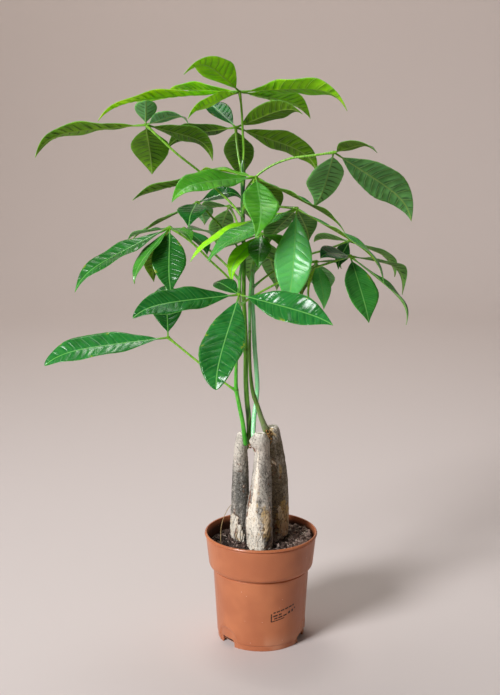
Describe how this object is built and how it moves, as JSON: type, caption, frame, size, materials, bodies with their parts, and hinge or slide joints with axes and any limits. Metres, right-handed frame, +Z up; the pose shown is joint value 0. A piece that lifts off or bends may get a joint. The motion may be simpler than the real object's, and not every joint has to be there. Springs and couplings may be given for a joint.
{
  "type": "potted money tree",
  "caption": "Potted money tree: palmate leaves on long stalks above swollen grey trunks, in a tapered terracotta-coloured nursery pot.",
  "frame": {"origin": "centre of the pot's foot, on the surface that it stands on", "axes": "+Z up, -Z into the surface; +X to the right and +Y away, seen from the picture's side"},
  "size_m": [0.3874, 0.222, 0.5986],
  "materials": {
    "pot_plastic": "satin terracotta plastic",
    "potting_mix": "loose dark potting mix",
    "bark": "speckled grey bark with cream peels",
    "bright_shoot": "smooth bright green stem",
    "dark_shoot": "smooth dark green stem",
    "pale_shoot": "waxy pale green stem",
    "olive_shoot": "olive grey stem",
    "young_leaf": "glossy yellow-green leaf",
    "leaf": "glossy deep green leaf"
  },
  "bodies": {
    "root": {"pot": "pot_plastic", "soil": "potting_mix", "trunk_left": "bark", "trunk_front": "bark", "trunk_right": "bark", "shoot_left": "bright_shoot", "shoot_tall": "dark_shoot", "shoot_middle": "pale_shoot", "shoot_right": "olive_shoot", "leaf_top": "young_leaf", "leaf_second": "leaf", "leaf_upper_left": "young_leaf", "leaf_upper_right": "leaf", "leaf_bright_front": "young_leaf", "leaf_front_right": "young_leaf", "leaf_inner": "leaf", "leaf_right": "leaf", "leaf_right_back": "leaf", "leaf_right_low": "leaf", "leaf_low_left": "leaf", "leaf_low_front": "leaf", "leaf_left": "leaf", "leaf_left_inner": "leaf", "leaf_left_back": "leaf", "leaf_middle_back": "leaf"}
  },
  "joints": []
}
